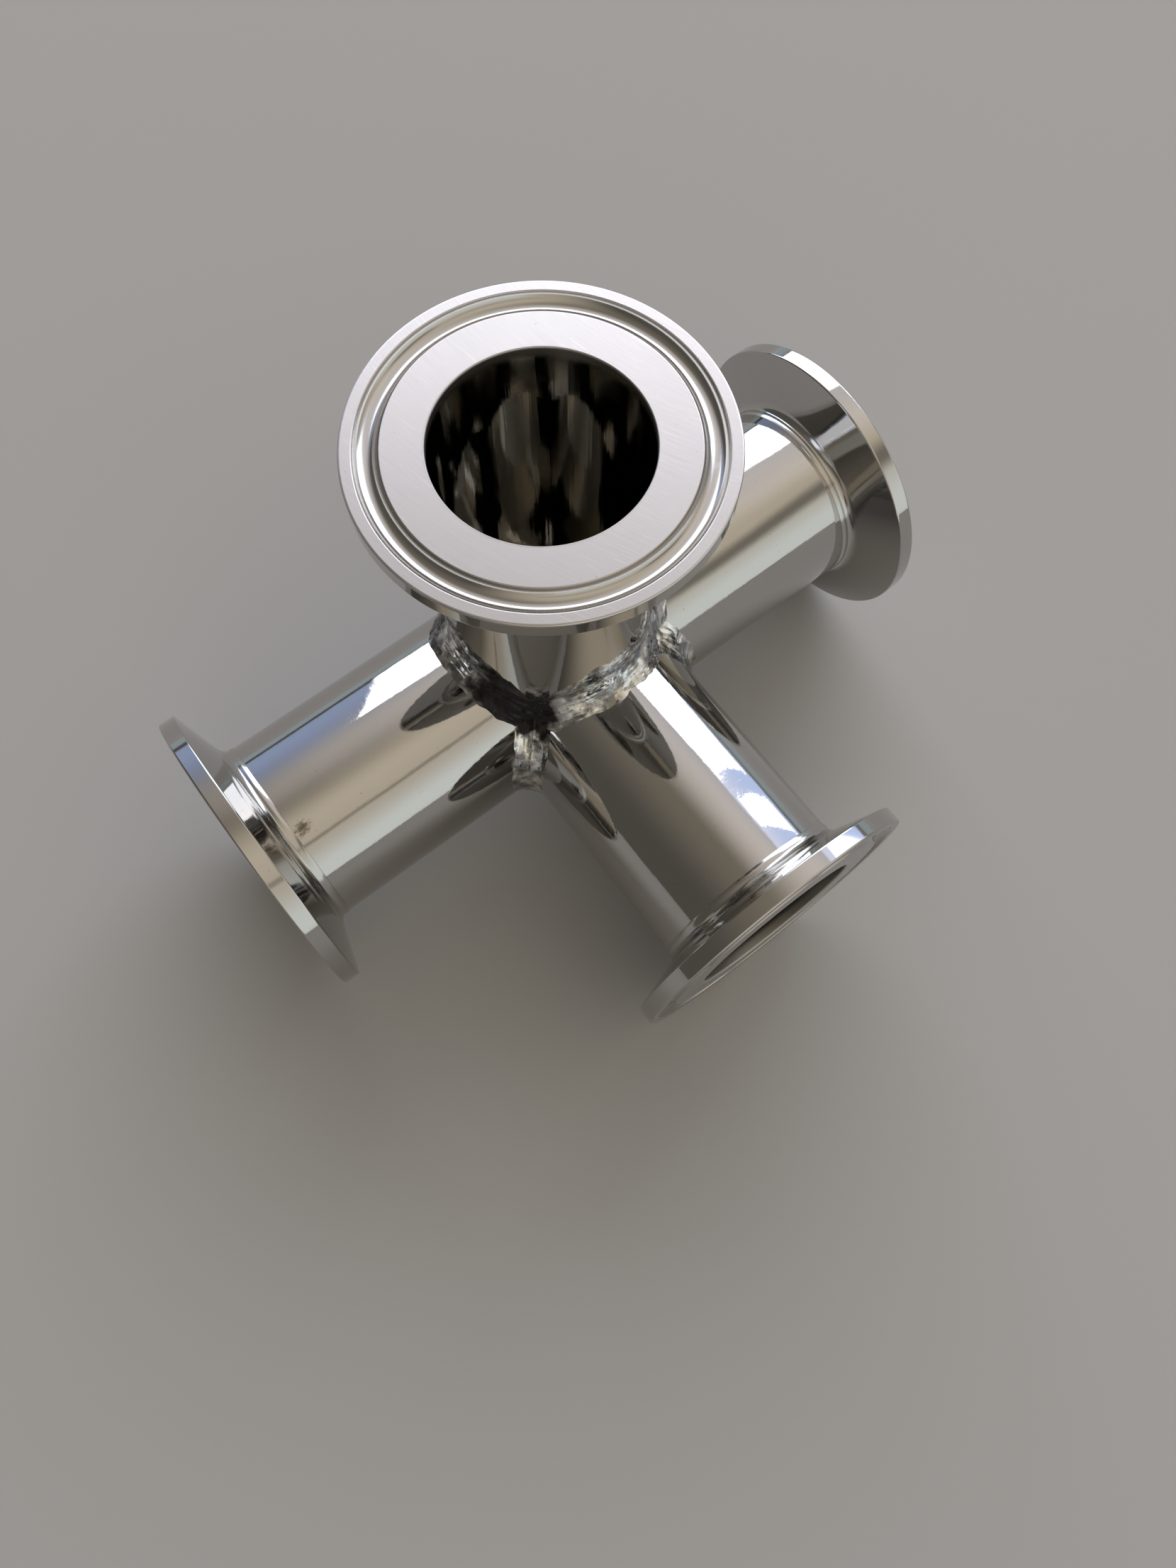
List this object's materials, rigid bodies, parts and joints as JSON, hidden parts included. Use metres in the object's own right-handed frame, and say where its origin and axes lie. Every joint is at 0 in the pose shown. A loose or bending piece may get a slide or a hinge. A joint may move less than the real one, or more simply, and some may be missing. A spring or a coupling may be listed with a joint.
{
  "type": "sanitary cross",
  "caption": "Polished stainless pipe cross whose ports point left, right, forward and up, each ending in a grooved clamp ferrule.",
  "frame": {"origin": "hub centre, where the axes of the run, the branch and the riser cross", "axes": "+X along the run to the right port, -Y along the branch to the front port, +Z along the riser to the top port"},
  "size_m": [0.119, 0.0848, 0.0848],
  "materials": {
    "tube_steel": "mirror polished",
    "ferrule_steel": "mirror polished, sealing face lapped satin",
    "weld_steel": "hand dressed weld"
  },
  "bodies": {
    "root": {"run_tube": "tube_steel", "branch_tube": "tube_steel", "riser_tube": "tube_steel", "left_ferrule": "ferrule_steel", "right_ferrule": "ferrule_steel", "front_ferrule": "ferrule_steel", "top_ferrule": "ferrule_steel", "left_ferrule_weld": "weld_steel", "right_ferrule_weld": "weld_steel", "front_ferrule_weld": "weld_steel", "top_ferrule_weld": "weld_steel", "branch_weld": "weld_steel", "riser_weld": "weld_steel"}
  },
  "joints": []
}
